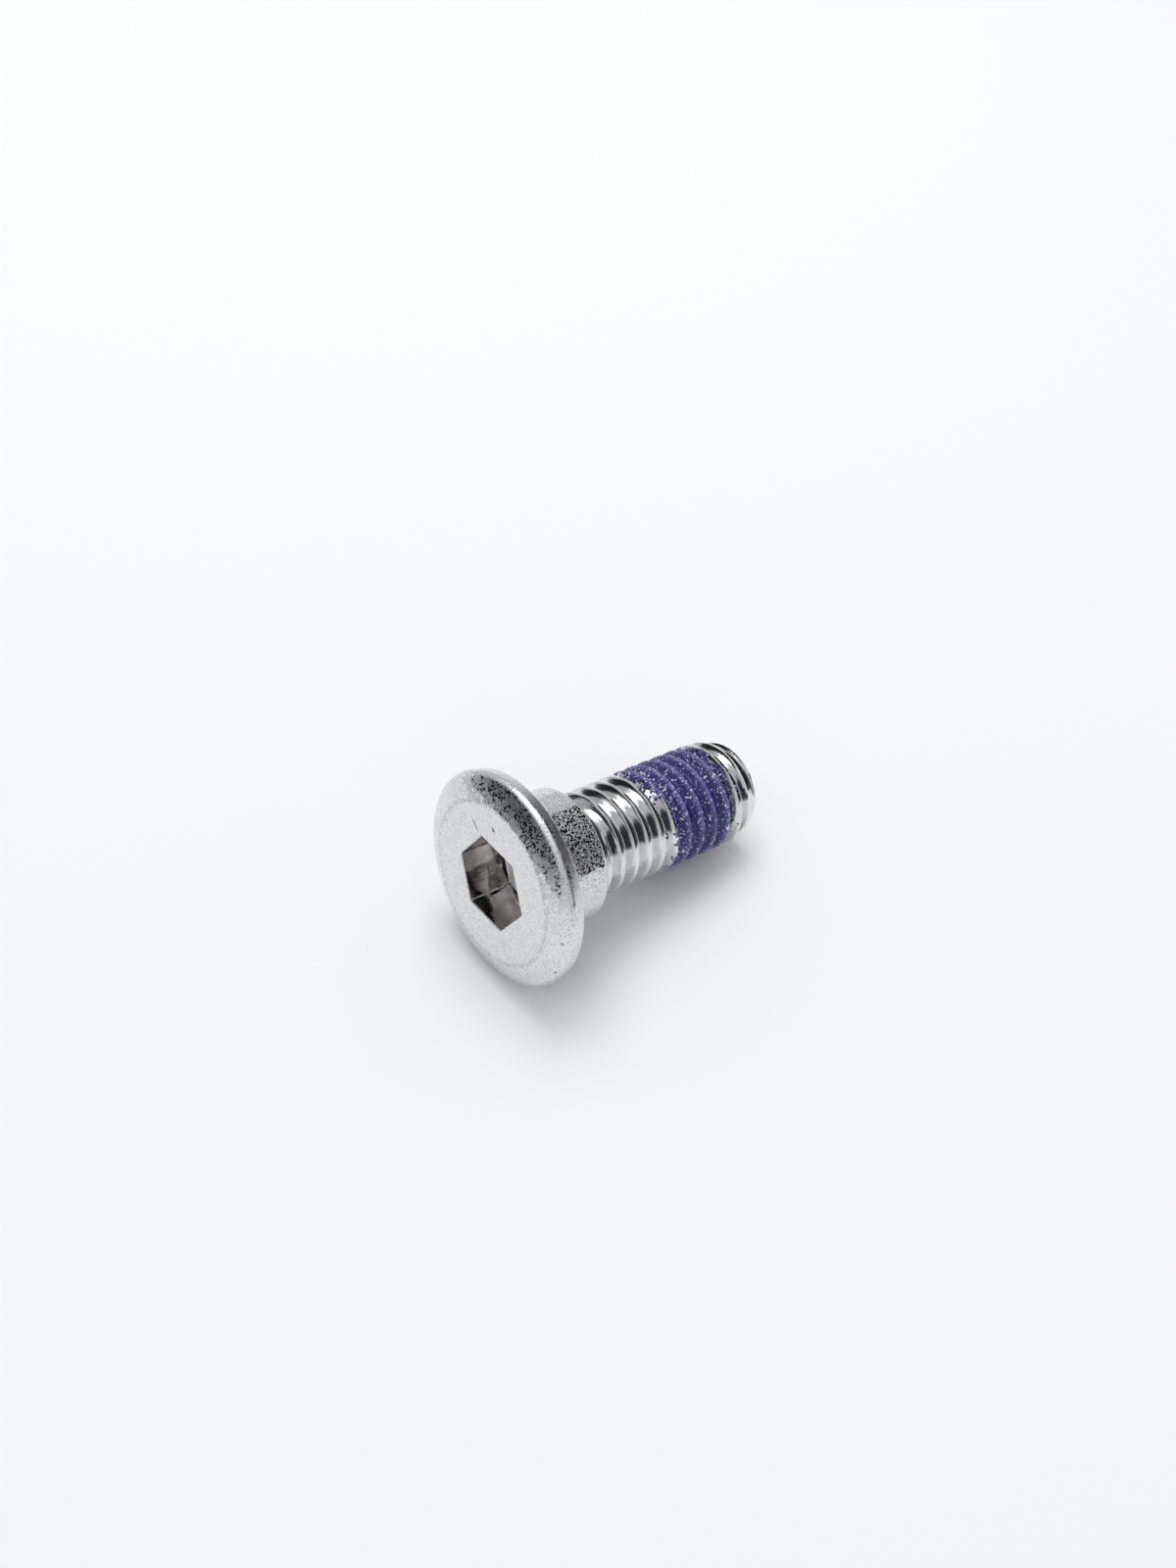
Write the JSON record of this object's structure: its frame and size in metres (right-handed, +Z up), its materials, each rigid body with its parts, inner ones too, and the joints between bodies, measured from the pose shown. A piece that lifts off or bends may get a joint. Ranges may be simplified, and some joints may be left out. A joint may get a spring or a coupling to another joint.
{
  "type": "brake rotor bolt",
  "caption": "Low-head hex socket shoulder bolt with a metric coarse thread, a rounded point and a band of dried blue threadlocker on the thread.",
  "frame": {"origin": "centre of the lying bolt's bounding box, on the surface it lies on", "axes": "+X along the bolt's length towards the tip, whose axis dips towards the tip by 12.1 degrees; +Z up"},
  "size_m": [0.0234, 0.0158, 0.0156],
  "materials": {
    "plated_steel": "bright zinc plating",
    "dried_threadlocker": "dried, slightly rough, with fine glints"
  },
  "bodies": {
    "root": {"bolt": "plated_steel", "threadlock_patch": "dried_threadlocker"}
  },
  "joints": []
}
